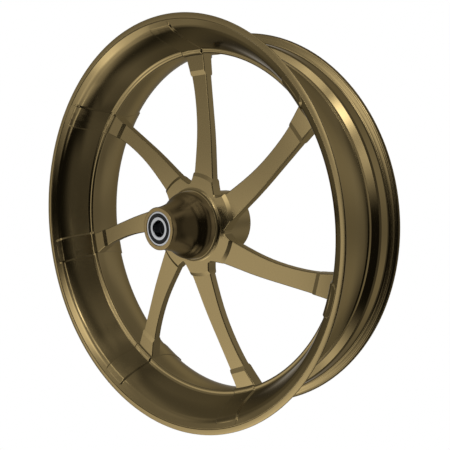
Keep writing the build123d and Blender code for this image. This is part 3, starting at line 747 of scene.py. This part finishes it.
cap_corners = [(3.9, 244.0, 0), (3.9, 251.5, 0), (4.95, 251.5, 0.2), (4.95, VALVE_TIP + 0.9, 0.5),
               (4.1, VALVE_TIP, 0.5), (0.01, VALVE_TIP, 0), (0.01, 244.0, 0)]
cap_line = outline_object("cap outline", soften(cap_corners[::-1], 3))
cap = grow(rib_tree, "ribbed_valve_cap", {"Outline": cap_line, "Steps": 48, "Base Radius": 0.003,
           "Rib Start": 247.4 * MM, "Material": finishes["cap_plastic"]})
bpy.data.objects.remove(cap_line)
lay_on_valve(cap)
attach(cap, "wheel")
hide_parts("valve_cap")

# %% [markdown]
# Satin metal is mostly a blurred mirror, so what lights it is the room that it reflects. The world here
# is plain white all round. On its own it would make the wheel flat and pale, so the wheel hangs in a
# round tent of dark cloth with windows of thinner cloth: white comes in through the windows as streaks,
# and the dark cloth between them gives the black troughs that make the dish look deep. The cloth is a
# Transparent shader whose colour says how much white it lets through, and where a window asks for more
# than white, a lamp in it gives the rest. The tent stands between the camera and the wheel as well, so
# it is hidden from the camera alone, and everything else still sees it: the metal shows the white around
# it only as far as the windows let it in.
# Each window is a soft-edged rectangle, given by its azimuth, its elevation and how thin it is. Azimuth 0
# is +Y, behind the wheel, 90 is +X, and 180 is straight in front of the dish; the camera stands near 136.
# The windows suit that one camera, and straight from the side the wheel looks darker. Without the tent,
# in plain white light, the same bronze looks clearly lighter.

# %% A dark tent with windows
TENT_R, CLOTH = 6.0, 0.01           # radius of the tent, and the share of white that its cloth lets through
WINDOWS = [
    # azimuth from, to, softness, elevation from, to, softness, share of the white that comes through
    (-59, 54, 16, 8, 65, 18, 0.20),           # behind, high
    (-46, 63, 6, -29, 25, 16, 0.18),          # behind, level
    (-56, 46, 18, -81, -15, 18, 0.19),        # behind, low
    (46, 99, 18, 53, 77, 18, 0.20),           # right and behind, high
    (55, 84, 8, -80, -46, 18, 0.13),          # right and behind, low
    (70, 102, 6, -52, 55, 13, 0.08),          # right
    (117, 154, 18, 33, 74, 18, 0.32),         # right of the dish, high
    (137, 147, 3, 40, 50, 10, 4.60),          # lamp high over the camera
    (128, 135, 3, 17, 37, 15, 1.10),          # its lower end
    (150, 171, 3, 56, 67, 8, 0.95),           # its upper end
    (160, 225, 3, 66, 71, 3, 0.95),           # strip high in front of the dish
    (145, 204, 15, 23, 70, 3, 0.23),          # dim sheet under it
    (167, 192, 6, 13, 36, 6, 1.18),           # box in front, over the axle
    (149, 176, 6, 8, 15, 15, 0.22),           # dim strip under the box
    (202, 206, 8, 1, 18, 6, 1.79),            # narrow lamp in front, left of the axle
    (168, 180, 4, -30, -21, 10, 0.30),        # small window in front, low
    (183, 246, 18, 10, 79, 18, 0.25),         # front left, high
    (206, 250, 4, -42, 13, 10, 0.28),         # front left, level
    (206, 232, 3, -52, -2, 7, 0.45),          # front left, low
    (178, 219, 6, -48, -28, 13, 0.82),        # box in front, low
    (202, 246, 8, -76, -37, 18, 0.17),        # dim sheet under it
    (249, 264, 8, -38, 11, 10, 0.19),         # left, level
    (238, 275, 9, 23, 74, 8, 0.14),           # left, high
    (260, 298, 18, -31, 80, 13, 0.12),        # left and behind
    (133, 148, 6, -74, -47, 13, 0.85),        # box low on the camera's side
    (117, 175, 18, -88, -65, 7, 0.31),        # strip by the floor, right
    (153, 276, 18, -89, -47, 15, 0.47),       # wide strip by the floor, left
    (-180, 180, 4, 73, 101, 4, 0.12),         # ceiling
]


def fade(tree, angle, low, high, soft):
    """1 between two angles, fading to 0 over the softness on each side of both."""
    centre, half = (low + high) / 2, (high - low) / 2
    off = add_node(tree, "ShaderNodeMath", {0: angle, 1: math.radians(centre)}, operation="SUBTRACT")
    wrapped = add_node(tree, "ShaderNodeMath", {0: off.outputs[0], 1: math.pi, 2: -math.pi}, operation="WRAP")
    size = add_node(tree, "ShaderNodeMath", {0: wrapped.outputs[0]}, operation="ABSOLUTE")
    return add_node(tree, "ShaderNodeMapRange", {"Value": size.outputs[0],
                    "From Min": math.radians(half + soft), "From Max": math.radians(half - soft)},
                    interpolation_type="SMOOTHSTEP").outputs["Result"]


# %% The cloth and the tent
made, tree = new_material("dark tent cloth with windows")
place = add_node(tree, "ShaderNodeTexCoord")
way = add_node(tree, "ShaderNodeVectorMath", {0: place.outputs["Object"]}, operation="NORMALIZE")
parts = add_node(tree, "ShaderNodeSeparateXYZ", {"Vector": way.outputs[0]})
azimuth = add_node(tree, "ShaderNodeMath", {0: parts.outputs["X"], 1: parts.outputs["Y"]}, operation="ARCTAN2")
elevation = add_node(tree, "ShaderNodeMath", {0: parts.outputs["Z"]}, operation="ARCSINE")
level = CLOTH
for a0, a1, side_soft, e0, e1, top_soft, share in WINDOWS:
    across = fade(tree, azimuth.outputs[0], a0, a1, side_soft)
    upward = fade(tree, elevation.outputs[0], e0, e1, top_soft)
    mask = add_node(tree, "ShaderNodeMath", {0: across, 1: upward}, operation="MULTIPLY")
    level = add_node(tree, "ShaderNodeMath", {0: mask.outputs[0], 1: share, 2: level},
                     operation="MULTIPLY_ADD").outputs[0]
sheer = add_node(tree, "ShaderNodeMath", {0: level, 1: 1.0}, operation="MINIMUM")
lamp = add_node(tree, "ShaderNodeMath", {0: level, 1: sheer.outputs[0]}, operation="SUBTRACT")
cloth = add_node(tree, "ShaderNodeBsdfTransparent", {"Color": sheer.outputs[0]})
lit = add_node(tree, "ShaderNodeEmission", {"Color": lamp.outputs[0]})
both = add_node(tree, "ShaderNodeAddShader")
tree.links.new(cloth.outputs[0], both.inputs[0])
tree.links.new(lit.outputs[0], both.inputs[1])
finish_material(tree, both)
bpy.ops.mesh.primitive_ico_sphere_add(subdivisions=5, radius=TENT_R, location=(0, 0, 0))
tent = bpy.context.object
tent.name = "tent"
tent.data.materials.append(made)
tent.visible_camera = False
print("windows in the tent:", len(WINDOWS))

# %% [markdown]
# Seen in each other, the spokes would draw brown stripes across the dish and hide its long even curves.
# A real wheel can't avoid them, but here the large bronze pieces are left out of what gloss sees, so each
# of them mirrors only the tent. It is a choice for a calm picture, and not how metal behaves.

# %% Calm reflections
calm = (rim, star, hub, pad_edges)
for piece in calm:
    piece.visible_glossy = False
print("left out of reflections:", [piece.name for piece in calm])

# %% [markdown]
# The world is white at a strength of 1, so the background is white and nothing is over-lit. The wheel is
# shown free, without a stand, and the plain pale floor lies well below it, under the tent, so that no
# shadow of the wheel falls near it. The floor takes light as matt paint, and the camera, metal and glass
# see it as white as the world behind it.

# %% White world and pale floor
world = bpy.data.worlds.new("white surroundings")
bpy.context.scene.world = world
world.use_nodes = True
tree = world.node_tree
tree.nodes.clear()
white = add_node(tree, "ShaderNodeBackground", {"Color": (1, 1, 1, 1), "Strength": 1.0})
add_node(tree, "ShaderNodeOutputWorld", {"Surface": white.outputs[0]})

FLOOR_SIZE, FLOOR_GAP = 30.0, 0.5   # width of the floor, and its distance under the tent
made, tree = new_material("pale floor")
path = add_node(tree, "ShaderNodeLightPath")
mirrored = add_node(tree, "ShaderNodeMath", {0: path.outputs["Is Camera Ray"],
                    1: path.outputs["Is Glossy Ray"]}, operation="MAXIMUM")
seen = add_node(tree, "ShaderNodeMath", {0: mirrored.outputs[0], 1: path.outputs["Is Transmission Ray"]},
                operation="MAXIMUM")
matt = add_node(tree, "ShaderNodeBsdfDiffuse", {"Color": linear("#F2F2F0")})
glow = add_node(tree, "ShaderNodeEmission", {"Color": (1, 1, 1, 1)})
mix = add_node(tree, "ShaderNodeMixShader", {"Fac": seen.outputs[0]})
tree.links.new(matt.outputs[0], mix.inputs[1])
tree.links.new(glow.outputs[0], mix.inputs[2])
finish_material(tree, mix)
bpy.ops.mesh.primitive_plane_add(size=FLOOR_SIZE, location=(0, 0, -TENT_R - FLOOR_GAP))
floor = bpy.context.object
floor.name = "floor"
floor.data.materials.append(made)
print("floor below the axle in metres:", TENT_R + FLOOR_GAP)

# %% [markdown]
# The camera stands in front of the dish, to its right and a little above the axle, and looks slightly
# down. Its lens sees about 46 degrees, so the near parts of the wheel look a little larger than the far
# ones. Its three directions are given as vectors, and the matrix that holds them turns the camera.

# %% Camera
lens = bpy.data.cameras.new("camera")
camera = bpy.data.objects.new("camera", lens)
bpy.context.scene.collection.objects.link(camera)
bpy.context.scene.camera = camera
lens.sensor_width = 36.0
lens.lens = 42.215
forward = Vector((-0.64823, 0.75404, -0.10597))
right = Vector((0.75831, 0.65190, 0.0))
up = right.cross(forward)
turn = Matrix((right, up, -forward)).transposed().to_4x4()
camera.matrix_world = Matrix.Translation((0.58297, -0.60431, 0.08870)) @ turn
lens.clip_start, lens.clip_end = 0.01, 100
print("camera to wheel centre in metres:", round(camera.matrix_world.translation.length, 3))

# %% [markdown]
# Last, colours are shown without a film look.

# %% Show colours without a film look
bpy.context.scene.view_settings.view_transform = "Standard"
bpy.context.view_layer.update()
